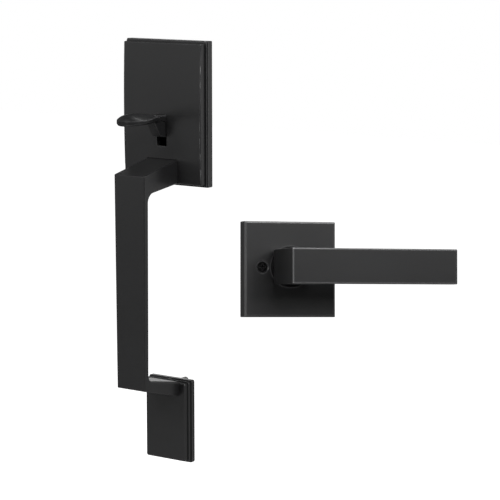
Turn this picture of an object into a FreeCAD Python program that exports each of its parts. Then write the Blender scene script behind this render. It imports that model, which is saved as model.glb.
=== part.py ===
"""Entry door handleset: a pull grip with a thumb latch outside, a lever on a square rose inside.

Millimetres. X runs right along the door, Y runs through the door from outside to inside, Z is up.
The origin is the centre of the door's cross bore on the door's outer face. The outside unit
stands against that face. The inside unit stands apart, turned and tilted as the set is shown.
"""
import FreeCAD, Part
import math
import os
import Sketcher

os.makedirs("parts", exist_ok=True)
Vector = FreeCAD.Vector
doc = FreeCAD.newDocument("entry_door_handleset")
sheet = doc.addObject("Spreadsheet::Sheet", "Sizes")

DRIVING = [
    # Upper escutcheon, a stepped plate with a crowned panel
    ("plate_width", 84.0),
    ("plate_height", 120.6),
    ("plate_base", 5.6),
    ("plate_step", 1.4),
    ("plate_panel", 5.7),
    ("plate_crown", 1.2),
    ("outer_ledge", 0.7),
    ("inner_ledge", 1.4),
    ("plate_corner", 0.8),
    ("panel_edge", 0.9),
    ("slot_width", 10.2),
    ("slot_top", 1.3),
    ("slot_bottom", 27.5),
    ("slot_corner", 0.8),
    # Recess in the back of the upper escutcheon, for the latch mechanism
    ("recess_width", 30.0),
    ("recess_top", 27.0),
    ("recess_bottom", 31.0),
    ("recess_depth", 10.5),
    # Grip: one casting of bar and two splayed arms
    ("grip_front", 57.8),
    ("grip_thickness", 6.0),
    ("grip_top_inset", 12.7),
    ("grip_bottom", 226.4),
    ("grip_top_width", 31.3),
    ("grip_bottom_width", 28.8),
    ("grip_front_edge", 0.8),
    ("grip_back_edge", 1.6),
    ("arm_seat", 0.5),
    ("arm_top_inset", 22.3),
    ("arm_under_inset", 2.1),
    ("arm_bend_drop", 3.0),
    ("upper_arm_fillet", 8.0),
    ("lower_arm_bend", 8.0),
    ("lower_arm_drop", 12.5),
    ("lower_arm_seat", 12.6),
    ("lower_arm_fillet", 6.0),
    ("grip_screw_inset", 14.5),
    ("grip_screw_pitch", 8.6),
    ("grip_screw_radius", 2.5),
    ("grip_screw_head_radius", 4.1),
    ("grip_screw_head", 4.5),
    ("grip_screw_sink", 5.5),
    ("grip_screw_grip", 11.5),
    # Lower escutcheon, a small stepped plate at the foot of the grip
    ("foot_width", 45.2),
    ("foot_height", 71.4),
    ("foot_rise", 0.7),
    ("foot_base", 3.6),
    ("foot_step", 3.2),
    ("foot_panel", 4.4),
    ("foot_ledge", 1.0),
    ("foot_corner", 1.7),
    ("foot_edge", 1.2),
    ("foot_core_width", 34.0),
    ("foot_core_height", 36.0),
    ("foot_core_drop", 9.0),
    ("foot_core_depth", 6.0),
    ("foot_post_drop", 6.1),
    ("foot_post_thread", 9.0),
    ("foot_post_radius", 3.5),
    ("foot_post_reach", 18.0),
    ("foot_flange_radius", 6.0),
    ("foot_flange", 4.7),
    # Thumb piece: a domed spoon on a neck, a web through the slot and a tail behind it
    ("pivot_depth", 6.5),
    ("pivot_drop", 9.0),
    ("pin_radius", 1.5),
    ("paddle_radius", 14.2),
    ("paddle_reach", 50.5),
    ("paddle_crest", 2.2),
    ("paddle_dome", 4.6),
    ("paddle_tip_dome", 5.6),
    ("paddle_wall", 3.8),
    ("paddle_edge", 1.5),
    ("neck_half", 3.8),
    ("neck_reach", 16.0),
    ("neck_crest_drop", 4.2),
    ("neck_dome", 0.3),
    ("web_radius", 60.0),
    ("web_front_reach", 29.0),
    ("web_front_drop", 5.6),
    ("web_foot_reach", 20.5),
    ("web_foot_drop", 18.8),
    ("web_low_reach", 13.5),
    ("web_low_drop", 20.0),
    ("web_rear_reach", 0.7),
    ("web_heel_drop", 12.0),
    ("web_top_drop", 5.4),
    ("web_top_reach", 8.5),
    ("tail_bar", 1.9),
    ("tail_bar_height", 5.5),
    ("finger_inner", 7.4),
    ("finger_width", 3.0),
    ("finger_reach", 5.5),
    ("finger_height", 4.7),
    ("lug_inner", 7.6),
    ("lug_width", 5.0),
    ("lug_reach", 4.5),
    ("lug_top", 7.0),
    ("lug_thickness", 3.0),
    # Chassis, a folded steel bracket in the recess
    ("sheet_steel", 1.5),
    ("chassis_gap", 0.3),
    ("chassis_slot_half", 5.2),
    ("cover_top", 18.4),
    ("ear_inner", 5.0),
    ("ear_steel", 1.8),
    ("ear_radius", 3.5),
    ("tab_height", 8.0),
    ("chassis_screw_side", 12.4),
    ("chassis_screw_top", 21.5),
    ("chassis_screw_bottom", 15.0),
    ("chassis_screw_radius", 1.5),
    ("chassis_screw_bite", 2.3),
    ("chassis_screw_head_radius", 2.5),
    ("chassis_screw_head", 1.6),
    # Thumb spring and thumb pin clips
    ("thumb_spring_side", 10.2),
    ("thumb_spring_depth", 1.2),
    ("thumb_spring_radius", 1.9),
    ("thumb_wire", 0.35),
    ("thumb_spring_turns", 5.0),
    ("pin_clip_gap", 0.2),
    ("pin_clip_thickness", 0.8),
    ("pin_clip_radius", 2.3),
    ("pin_end", 0.5),
    # Spindle hub with its lifting arm, in a bushing on the back plate
    ("hub_front", 0.4),
    ("hub_radius", 7.0),
    ("hub_rear", 11.4),
    ("arm_front", 1.5),
    ("arm_rear", 6.0),
    ("arm_reach", 9.0),
    ("arm_half", 2.0),
    ("arm_droop", 12.5),
    ("back_plate_front", 7.3),
    ("back_plate_steel", 2.0),
    ("back_plate_radius", 26.4),
    ("back_plate_height", 28.0),
    ("bushing_wall", 1.95),
    ("bushing_flange_radius", 10.2),
    ("bushing_flange", 0.7),
    ("hub_clip_gap", 0.5),
    ("hub_clip_thickness", 0.8),
    ("hub_clip_bite", 0.6),
    ("hub_clip_radius", 8.8),
    ("spindle_side", 8.0),
    ("spindle_front", 1.2),
    ("spindle_rear", 52.0),
    ("roll_pin_radius", 1.0),
    ("roll_pin_depth", 3.7),
    # Threaded posts through the door, on the back of the upper escutcheon
    ("post_side", 21.0),
    ("post_stud_radius", 3.0),
    ("post_stud", 8.0),
    ("post_flange_radius", 5.0),
    ("post_sink", 2.0),
    ("post_radius", 3.5),
    ("post_rear", 23.0),
    ("post_bore_radius", 2.1),
    ("post_bore_depth", 15.0),
    ("post_nut_flats", 10.6),
    ("post_nut_thickness", 3.0),
    # Inside unit: place and pose, as the set is shown
    ("unit_x", 227.23),
    ("unit_y", -165.95),
    ("unit_z", -86.63),
    ("unit_azimuth", 34.9),
    ("unit_tilt", -10.85),
    ("unit_turn", 17.9),
    # Rose, collar and mounting plate
    ("rose_side", 68.0),
    ("rose_drop", 1.6),
    ("rose_thickness", 10.5),
    ("rose_bevel", 1.2),
    ("rose_corner", 0.7),
    ("rose_wall", 3.0),
    ("collar_radius", 14.5),
    ("collar_proud", 3.0),
    ("collar_flange_radius", 17.0),
    ("collar_flange", 1.2),
    ("collar_chamfer", 0.6),
    ("mount_plate_side", 61.0),
    ("mount_hole_radius", 11.0),
    ("rose_screw_radius", 2.45),
    ("rose_screw_head_radius", 4.35),
    ("rose_screw_sink", 0.3),
    ("rose_screw_rear", 28.0),
    ("cross_recess_length", 4.8),
    ("cross_recess_width", 0.95),
    ("cross_recess_depth", 1.5),
    # Lever, a square hub and a flat blade in one casting
    ("lever_hub_width", 27.0),
    ("lever_height", 24.8),
    ("lever_reach", 54.8),
    ("lever_length", 109.8),
    ("blade_thickness", 10.0),
    ("lever_inner_fillet", 5.0),
    ("lever_end_corner", 1.6),
    ("lever_edge", 0.7),
    ("lever_rear_edge", 2.0),
    ("lever_gap", 0.3),
    ("set_screw_radius", 2.45),
    ("set_screw_depth", 5.4),
    ("set_screw_hex", 2.5),
    ("set_screw_hex_depth", 1.6),
    # Drive tube and what turns with it
    ("tube_radius", 9.0),
    ("tube_seat", 10.2),
    ("tube_rear", 1.2),
    ("socket_side", 8.2),
    ("socket_depth", 18.0),
    ("washer_radius", 12.8),
    ("washer_thickness", 0.5),
    ("ring_radius", 12.0),
    ("ring_thickness", 0.8),
    ("ring_bite", 0.6),
    ("ring_gap", 0.2),
    ("cam_radius", 15.0),
    ("cam_steel", 1.2),
    ("cam_gap", 0.3),
    ("cam_tab_reach", 18.6),
    ("cam_tab_width", 2.4),
    ("cam_tab_depth", 2.5),
    ("centring_radius", 13.7),
    ("centring_wire", 0.6),
    ("centring_bend", 2.0),
    ("centring_leg", 22.0),
    ("stop_post_height", 20.8),
    ("stop_post_radius", 1.2),
    # Clearances
    ("running", 0.05),
    ("screw_clearance", 0.1),
    ("seat_clearance", 0.1),
]

for row, (alias, value) in enumerate(DRIVING, start=1):
    sheet.set("A%d" % row, alias.replace("_", " "))
    sheet.set("B%d" % row, str(value))
    sheet.setAlias("B%d" % row, alias)
doc.recompute()


class Size:
    """A number together with the spreadsheet expression that it comes from."""

    def __init__(self, value, text):
        self.value = value
        self.text = text

    def __add__(self, other):
        return Size(self.value + amount(other), "(%s + %s)" % (self.text, wording(other)))

    def __radd__(self, other):
        return Size(amount(other) + self.value, "(%s + %s)" % (wording(other), self.text))

    def __sub__(self, other):
        return Size(self.value - amount(other), "(%s - %s)" % (self.text, wording(other)))

    def __rsub__(self, other):
        return Size(amount(other) - self.value, "(%s - %s)" % (wording(other), self.text))

    def __mul__(self, other):
        return Size(self.value * amount(other), "(%s * %s)" % (self.text, wording(other)))

    def __rmul__(self, other):
        return self * other

    def __truediv__(self, other):
        return Size(self.value / amount(other), "(%s / %s)" % (self.text, wording(other)))

    def __neg__(self):
        return Size(-self.value, "(0 - %s)" % self.text)


def amount(term):
    return term.value if isinstance(term, Size) else float(term)


def wording(term):
    return term.text if isinstance(term, Size) else repr(float(term))


def square_root(term):
    return Size(math.sqrt(term.value), "sqrt(%s)" % term.text)


class Named:
    """The driving dimensions by name."""


size = Named()
for alias, value in DRIVING:
    setattr(size, alias, Size(float(sheet.get(alias)), "Sizes." + alias))

# Depths and heights that several pieces share
plate_half = size.plate_height / 2
grip_top = plate_half - size.grip_top_inset
upper_arm_top = plate_half - size.arm_top_inset
upper_arm_under = plate_half - size.arm_under_inset
upper_arm_inner = plate_half + size.arm_bend_drop
grip_screw_upper = plate_half - size.grip_screw_inset
grip_screw_lower = grip_screw_upper + size.grip_screw_pitch
lower_arm_inner = size.grip_bottom - size.lower_arm_bend
lower_arm_under = size.grip_bottom + size.lower_arm_drop
lower_arm_top = lower_arm_under - size.lower_arm_seat
foot_centre = lower_arm_top - size.foot_rise + size.foot_height / 2
foot_post_height = lower_arm_top + size.foot_post_drop
plate_ledges = size.outer_ledge + size.inner_ledge
plate_edge_depth = size.plate_base + size.plate_step + size.plate_panel
seat_floor = plate_edge_depth - size.arm_seat
grip_back = size.grip_front - size.grip_thickness
foot_depth = size.foot_base + size.foot_step + size.foot_panel
recess_floor = size.recess_depth
chassis_rear = recess_floor - size.sheet_steel
back_plate_rear = size.back_plate_front + size.back_plate_steel
finger_top = size.arm_reach * 0.2164 + size.arm_half + 0.3
hub_groove_front = back_plate_rear + size.hub_clip_gap
web_thickness = size.neck_half * 2
web_top = size.neck_crest_drop + size.neck_dome
collar_rear = size.rose_thickness - size.rose_wall
flange_rear = collar_rear - size.collar_flange
lever_back = size.rose_thickness + size.collar_proud + size.lever_gap
tube_front = lever_back + size.tube_seat
ring_front = flange_rear - size.washer_thickness - size.ring_gap
cam_front = size.sheet_steel + size.cam_gap + size.cam_steel
UPRIGHT = "placement(vector(0; 0; 0); rotation(vector(0; 0; 1); 0))"
INSIDE_UNIT = (
    "placement(vector(Sizes.unit_x; Sizes.unit_y; Sizes.unit_z); "
    "rotation(vector(0; 0; 1); Sizes.unit_azimuth) * rotation(vector(1; 0; 0); Sizes.unit_tilt)"
    " * rotation(vector(0; 0; 1); Sizes.unit_turn))"
)

# Where the spoon's sections lie: shares of its radius toward the tip, shares of the way back to the slot
SPOON_TIP = (0.985, 0.9, 0.7, 0.35)
SPOON_NECK = (0.0, 0.25, 0.5, 0.75, 1.0)

pieces = []


def bind(target, field, term):
    """Set a property from a size, through the sheet where it has one."""
    if isinstance(term, Size):
        target.setExpression(field, term.text)
    else:
        setattr(target, field, term)


def new_piece(label, placement=UPRIGHT, several=False):
    body = doc.addObject("PartDesign::Body", label)
    body.Label = label
    body.AllowCompound = several
    body.setExpression("Placement", placement)
    pieces.append(body)
    return body


def shifted(x=0, y=0, z=0):
    """A placement moved along the row's axes."""
    where = "; ".join(wording(term) for term in (x, y, z))
    return "placement(vector(%s); rotation(vector(0; 0; 1); 0))" % where


def sketch_on(body, role, offset=0, turn=0):
    """A sketch parallel to one of the body's own planes: FRONT looks along +Y, SIDE along -X, TOP down."""
    sketch = body.newObject("Sketcher::SketchObject", body.Name + "_sketch")
    plane = next(item for item in body.Origin.OriginFeatures if item.Role == role)
    sketch.AttachmentSupport = [(plane, "")]
    sketch.MapMode = "FlatFace"
    where = "placement(vector(0; 0; %s); rotation(vector(0; 0; 1); %s))"
    sketch.setExpression("AttachmentOffset", where % (wording(offset), wording(turn)))
    return sketch


FRONT = "XZ_Plane"
SIDE = "YZ_Plane"
TOP = "XY_Plane"


def hold_point(sketch, curve, end, x, y):
    """Tie one point of a sketch curve to the sheet, by its distances from the sketch's origin."""
    for kind, term, axis in (("DistanceX", x, -2), ("DistanceY", y, -1)):
        if amount(term) == 0:
            sketch.addConstraint(Sketcher.Constraint("PointOnObject", curve, end, axis))
            continue
        if amount(term) > 0:
            rule = Sketcher.Constraint(kind, -1, 1, curve, end, amount(term))
        else:
            rule = Sketcher.Constraint(kind, curve, end, -1, 1, -amount(term))
            term = -term
        index = sketch.addConstraint(rule)
        if isinstance(term, Size):
            sketch.setExpression("Constraints[%d]" % index, term.text)


def outline(sketch, points, closed=True):
    """An outline. A point is (x, y), or (x, y, radius) where an arc leads on to the next point.

    A positive radius bulges to the right of the way from this point to the next.
    """
    ends = []
    count = len(points) if closed else len(points) - 1
    for number, point in enumerate(points[:count]):
        following = points[(number + 1) % len(points)]
        start = Vector(amount(point[0]), amount(point[1]), 0)
        stop = Vector(amount(following[0]), amount(following[1]), 0)
        if len(point) == 2:
            curve = sketch.addGeometry(Part.LineSegment(start, stop), False)
            ends.append((curve, 1, 2))
            continue
        radius = abs(amount(point[2]))
        chord = stop - start
        rise = math.sqrt(radius ** 2 - chord.Length ** 2 / 4)
        left = Vector(-chord.y, chord.x, 0).normalize()
        bulges_right = amount(point[2]) > 0
        centre = (start + stop) * 0.5 + left * (rise if bulges_right else -rise)
        begin, finish = (start, stop) if bulges_right else (stop, start)
        angles = [math.atan2(p.y - centre.y, p.x - centre.x) for p in (begin, finish)]
        circle = Part.Circle(centre, Vector(0, 0, 1), radius)
        curve = sketch.addGeometry(Part.ArcOfCircle(circle, angles[0], angles[1]), False)
        ends.append((curve, 1, 2) if bulges_right else (curve, 2, 1))
        index = sketch.addConstraint(Sketcher.Constraint("Radius", curve, radius))
        if isinstance(point[2], Size):
            sketch.setExpression("Constraints[%d]" % index, (point[2] if bulges_right else -point[2]).text)
    for number, (curve, begin, finish) in enumerate(ends):
        hold_point(sketch, curve, begin, points[number][0], points[number][1])
        if closed or number + 1 < count:
            following = ends[(number + 1) % count]
            sketch.addConstraint(Sketcher.Constraint("Coincident", curve, finish, following[0], following[1]))
        else:
            hold_point(sketch, curve, finish, points[-1][0], points[-1][1])


def rectangle(sketch, low_x, low_y, high_x, high_y):
    outline(sketch, [(low_x, low_y), (high_x, low_y), (high_x, high_y), (low_x, high_y)])


def circle(sketch, radius, x=0, y=0):
    geometry = Part.Circle(Vector(amount(x), amount(y), 0), Vector(0, 0, 1), amount(radius))
    curve = sketch.addGeometry(geometry, False)
    index = sketch.addConstraint(Sketcher.Constraint("Radius", curve, amount(radius)))
    sketch.setExpression("Constraints[%d]" % index, wording(radius))
    hold_point(sketch, curve, 3, x, y)


def hexagon(sketch, flats, x=0, y=0):
    """A hexagon by its width across flats, with a corner up."""
    half = flats / 2
    corner = flats / math.sqrt(3)
    outline(sketch, [
        (x + half, y - corner / 2),
        (x + half, y + corner / 2),
        (x, y + corner),
        (x - half, y + corner / 2),
        (x - half, y - corner / 2),
        (x, y - corner),
    ])


def pad(body, sketch, length, both=False, backward=False):
    """Add the sketch's extrusion, along the sketch's normal unless it goes backward or both ways."""
    feature = body.newObject("PartDesign::Pad", body.Name + "_pad")
    feature.Profile = sketch
    bind(feature, "Length", length)
    feature.SideType = "Symmetric" if both else "One side"
    feature.Reversed = backward
    doc.recompute()
    return feature


def pocket(body, sketch, depth, both=False, forward=False):
    """Cut the sketch's extrusion against the sketch's normal, or forward along it. It must cut something."""
    volume = body.Tip.Shape.Volume
    feature = body.newObject("PartDesign::Pocket", body.Name + "_pocket")
    feature.Profile = sketch
    bind(feature, "Length", depth)
    feature.SideType = "Symmetric" if both else "One side"
    feature.Reversed = forward
    doc.recompute()
    if not 0 < feature.Shape.Volume < volume:
        raise ValueError("%s cuts nothing or everything" % feature.Name)
    return feature


def turned(body, points):
    """A solid turned about the body's Y axis. A point is its place along Y and its radius."""
    sketch = sketch_on(body, SIDE)
    outline(sketch, points)
    feature = body.newObject("PartDesign::Revolution", body.Name + "_turning")
    feature.Profile = sketch
    feature.ReferenceAxis = (sketch, ["H_Axis"])
    feature.Angle = 360
    doc.recompute()
    return feature


def dress(body, kind, term, chosen):
    """Fillet or chamfer the edges of the tip that the test chooses."""
    base = body.Tip
    names = ["Edge%d" % (n + 1) for n, edge in enumerate(base.Shape.Edges) if chosen(edge)]
    if not names:
        raise ValueError("%s has no such edge" % body.Label)
    feature = body.newObject("PartDesign::" + kind, body.Name + "_" + kind.lower())
    feature.Base = (base, names)
    bind(feature, "Radius" if kind == "Fillet" else "Size", term)
    doc.recompute()
    return feature


def along(edge, direction):
    """True for a straight edge that runs the way that the unit vector points."""
    span = edge.Vertexes[-1].Point - edge.Vertexes[0].Point
    return abs(span.dot(direction)) > edge.Length * 0.999


def lies_at(edge, axis, term):
    """True where the whole edge lies in the plane at that value of x, y or z."""
    box = edge.BoundBox
    low, high = {"x": (box.XMin, box.XMax), "y": (box.YMin, box.YMax), "z": (box.ZMin, box.ZMax)}[axis]
    return max(abs(low - amount(term)), abs(high - amount(term))) < 1e-4


def repeat(body, axis_role, length, count=2):
    """Repeat the whole body in a row along one of its own axes."""
    feature = body.newObject("PartDesign::LinearPattern", body.Name + "_row")
    feature.Originals = [item for item in body.Group if item.TypeId.startswith("PartDesign::")
                         and item is not feature and hasattr(item, "AddSubShape")]
    axis = next(item for item in body.Origin.OriginFeatures if item.Role == axis_role)
    feature.Direction = (axis, [""])
    bind(feature, "Length", length)
    feature.Occurrences = count
    body.Tip = feature
    doc.recompute()
    return feature


X = Vector(1, 0, 0)
Y = Vector(0, 1, 0)
Z = Vector(0, 0, 1)


def stepped_plate(body, width, height, middle, tiers):
    """Rectangular tiers, one on the next. A tier is its inset and its thickness."""
    depth = 0
    for inset, thickness in tiers:
        half = width / 2 - inset
        sketch = sketch_on(body, FRONT, depth)
        rectangle(sketch, -half, middle - height / 2 + inset, half, middle + height / 2 - inset)
        pad(body, sketch, thickness)
        depth = depth + thickness
    return depth


def build_upper_escutcheon():
    """Base plate, step and crowned panel, with the thumb slot and the recess behind it."""
    body = new_piece("upper_escutcheon")
    stepped_plate(body, size.plate_width, size.plate_height, Size(0.0, "0"),
                  [(0, size.plate_base), (size.outer_ledge, size.plate_step)])
    panel = sketch_on(body, SIDE)
    panel_half = plate_half - plate_ledges
    crown_radius = (panel_half * panel_half + size.plate_crown * size.plate_crown) / (size.plate_crown * 2)
    step_front = -(size.plate_base + size.plate_step)
    outline(panel, [
        (step_front, -panel_half),
        (step_front, panel_half),
        (-plate_edge_depth, panel_half, -crown_radius * -1),
        (-plate_edge_depth, -panel_half),
    ])
    pad(body, panel, size.plate_width - plate_ledges * 2, both=True)
    dress(body, "Fillet", size.plate_corner, lambda edge: along(edge, Y) and abs(edge.BoundBox.XMax) > 5)
    front = -(amount(plate_edge_depth) - 1e-3)
    dress(body, "Fillet", size.panel_edge, lambda edge: edge.BoundBox.YMax < front + 0.01 and not along(edge, Y))
    slot = sketch_on(body, FRONT)
    rectangle(slot, -size.slot_width / 2, -size.slot_bottom, size.slot_width / 2, -size.slot_top)
    pocket(body, slot, plate_edge_depth * 3, both=True)
    slot_half = amount(size.slot_width) / 2
    dress(body, "Fillet", size.slot_corner,
          lambda edge: along(edge, Y) and abs(abs(edge.BoundBox.XMax) - slot_half) < 1e-4)
    recess = sketch_on(body, FRONT)
    rectangle(recess, -size.recess_width / 2, -size.recess_bottom, size.recess_width / 2, size.recess_top)
    pocket(body, recess, size.recess_depth, forward=True)
    seat = sketch_on(body, FRONT, seat_floor)
    seat_half = size.grip_top_width / 2 + size.seat_clearance
    rectangle(seat, -seat_half, -upper_arm_under - size.seat_clearance,
              seat_half, -upper_arm_top + size.seat_clearance)
    pocket(body, seat, plate_edge_depth, forward=True)
    holes = sketch_on(body, FRONT)
    sinks = sketch_on(body, FRONT)
    for height in (grip_screw_upper, grip_screw_lower):
        circle(holes, size.grip_screw_radius + size.screw_clearance, 0, -height)
        circle(sinks, size.grip_screw_head_radius + size.screw_clearance, 0, -height)
    pocket(body, holes, plate_edge_depth * 3, both=True)
    pocket(body, sinks, size.grip_screw_sink, forward=True)
    studs = sketch_on(body, FRONT)
    for side in (-size.post_side, size.post_side):
        circle(studs, size.post_stud_radius + size.screw_clearance, side, 0)
    pocket(body, studs, size.post_stud + size.chassis_gap, forward=True)
    sinks = sketch_on(body, FRONT)
    for side in (-size.post_side, size.post_side):
        circle(sinks, size.post_flange_radius + size.screw_clearance, side, 0)
    pocket(body, sinks, size.post_sink, forward=True)
    bites = sketch_on(body, FRONT, recess_floor)
    for side in (-size.chassis_screw_side, size.chassis_screw_side):
        for height in (size.chassis_screw_top, -size.chassis_screw_bottom):
            circle(bites, size.chassis_screw_radius + size.screw_clearance, side, height)
    pocket(body, bites, size.chassis_screw_bite + size.screw_clearance, forward=True)


def build_grip():
    """Bar and two arms in one casting, tapered in front view, with rounded edges."""
    body = new_piece("grip")
    profile = sketch_on(body, SIDE)
    outline(profile, [
        (-size.grip_front, -grip_top),
        (-size.grip_front, -size.grip_bottom),
        (-foot_depth, -lower_arm_under),
        (-foot_depth, -lower_arm_top),
        (-grip_back, -lower_arm_inner),
        (-grip_back, -upper_arm_inner),
        (-seat_floor, -upper_arm_under),
        (-seat_floor, -upper_arm_top),
    ])
    pad(body, profile, size.grip_top_width * 2, both=True)
    taper = sketch_on(body, FRONT)
    outer = size.grip_top_width * 1.5
    high = -upper_arm_top + size.grip_thickness
    low = -lower_arm_under - size.grip_thickness
    rectangle(taper, -outer, low - size.grip_thickness, outer, high + size.grip_thickness)
    outline(taper, [
        (-size.grip_bottom_width / 2, low),
        (size.grip_bottom_width / 2, low),
        (size.grip_top_width / 2, high),
        (-size.grip_top_width / 2, high),
    ])
    pocket(body, taper, size.grip_front * 3, both=True)
    back = -grip_back
    dress(body, "Fillet", size.upper_arm_fillet,
          lambda edge: along(edge, X) and lies_at(edge, "y", back) and lies_at(edge, "z", -upper_arm_inner))
    dress(body, "Fillet", size.lower_arm_fillet,
          lambda edge: along(edge, X) and lies_at(edge, "y", back) and lies_at(edge, "z", -lower_arm_inner))
    dress(body, "Fillet", size.grip_back_edge, lambda edge: runs_inside(edge))
    dress(body, "Fillet", size.grip_front_edge, lambda edge: runs_outside(edge))
    threads = sketch_on(body, FRONT, seat_floor)
    for height in (grip_screw_upper, grip_screw_lower):
        circle(threads, size.grip_screw_radius + size.running, 0, -height)
    pocket(body, threads, size.grip_screw_grip + size.chassis_gap, forward=True)
    foot_thread = sketch_on(body, FRONT, foot_depth)
    circle(foot_thread, size.post_stud_radius + size.running, 0, -foot_post_height)
    pocket(body, foot_thread, size.foot_post_thread + size.chassis_gap, forward=True)


def on_a_side(edge):
    """True for an edge along the left or right side of the grip, on any of its arms."""
    box = edge.BoundBox
    return min(abs(box.XMin), abs(box.XMax)) > amount(size.grip_bottom_width) / 2 - 1


def runs_inside(edge):
    """The side edges round the hand space: arms' inner edges, corner fillets and the bar's back."""
    if not on_a_side(edge):
        return False
    middle = edge.CenterOfMass
    if abs(middle.y + amount(grip_back)) < 1.0:
        return True
    inner_top = amount(upper_arm_under) - 0.5
    inner_bottom = amount(lower_arm_top) - 0.5
    inside = -inner_bottom < middle.z < -inner_top
    return inside and middle.y > -amount(grip_back) - 0.5


def runs_outside(edge):
    """The side edges round the outside of the casting, with its top and bottom front edges."""
    box = edge.BoundBox
    at_front = lies_at(edge, "y", -size.grip_front)
    if at_front:
        return True
    reaches_front = abs(box.YMin + amount(size.grip_front)) < 1e-3
    return reaches_front and on_a_side(edge)


def screw_profile(front, rear, radius, head_depth, head_radius):
    """A cheese-head screw whose head is at the rear: its tip at front, its head's seat at rear."""
    return [
        (-front, 0),
        (-front, radius),
        (-rear, radius),
        (-rear, head_radius),
        (-rear + head_depth, head_radius),
        (-rear + head_depth, 0),
    ]


def build_grip_screws():
    """Two screws from behind the escutcheon into the upper arm."""
    body = new_piece("grip_screws", shifted(z=-grip_screw_upper), several=True)
    turned(body, screw_profile(seat_floor + size.grip_screw_grip, size.grip_screw_sink,
                               size.grip_screw_radius, size.grip_screw_head, size.grip_screw_head_radius))
    row = repeat(body, "Z_Axis", grip_screw_lower - grip_screw_upper)
    row.Reversed = True
    doc.recompute()


def build_lower_escutcheon():
    """Three tiers, cored behind, bored for the post that clamps it to the lower arm."""
    body = new_piece("lower_escutcheon")
    middle = -foot_centre
    stepped_plate(body, size.foot_width, size.foot_height, middle,
                  [(0, size.foot_base), (size.foot_ledge, size.foot_step), (size.foot_ledge * 2, size.foot_panel)])
    dress(body, "Fillet", size.foot_corner, lambda edge: along(edge, Y))
    dress(body, "Fillet", size.foot_edge, lambda edge: lies_at(edge, "y", -foot_depth))
    hole = sketch_on(body, FRONT)
    circle(hole, size.post_stud_radius + size.screw_clearance, 0, -foot_post_height)
    pocket(body, hole, foot_depth * 3, both=True)
    sink = sketch_on(body, FRONT)
    circle(sink, size.foot_flange_radius + size.screw_clearance, 0, -foot_post_height)
    pocket(body, sink, size.foot_flange + size.chassis_gap, forward=True)
    core = sketch_on(body, FRONT)
    top = middle + size.foot_height / 2 - size.foot_flange_radius * 2 - size.foot_core_drop
    rectangle(core, -size.foot_core_width / 2, top - size.foot_core_height, size.foot_core_width / 2, top)
    pocket(body, core, size.foot_core_depth, forward=True)


def build_foot_post():
    """Stud into the lower arm, flange in the lower escutcheon, tapped post into the door."""
    body = new_piece("foot_post", shifted(z=-foot_post_height))
    flange_front = -(size.foot_flange + size.chassis_gap)
    turned(body, [
        (-foot_depth - size.foot_post_thread, 0),
        (-foot_depth - size.foot_post_thread, size.post_stud_radius),
        (flange_front, size.post_stud_radius),
        (flange_front, size.foot_flange_radius),
        (flange_front + size.foot_flange, size.foot_flange_radius),
        (flange_front + size.foot_flange, size.foot_post_radius),
        (size.foot_post_reach, size.foot_post_radius),
        (size.foot_post_reach, size.post_bore_radius),
        (size.foot_post_reach - size.post_bore_depth, size.post_bore_radius),
        (size.foot_post_reach - size.post_bore_depth, 0),
    ])


def spoon_section(body, reach, half, crest, rim):
    """One upright section of the spoon: a domed top between two rims, straight walls, a bevelled underside."""
    sketch = sketch_on(body, FRONT, reach)
    low = rim - size.paddle_wall
    bevel = half * (size.paddle_edge / size.paddle_radius)
    rise = crest - rim
    dome_radius = (half * half + rise * rise) / (rise * 2)
    outline(sketch, [
        (-half + bevel, low),
        (half - bevel, low),
        (half, low + bevel),
        (half, rim, dome_radius),
        (-half, rim),
        (-half, low + bevel),
    ])
    return sketch


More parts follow.
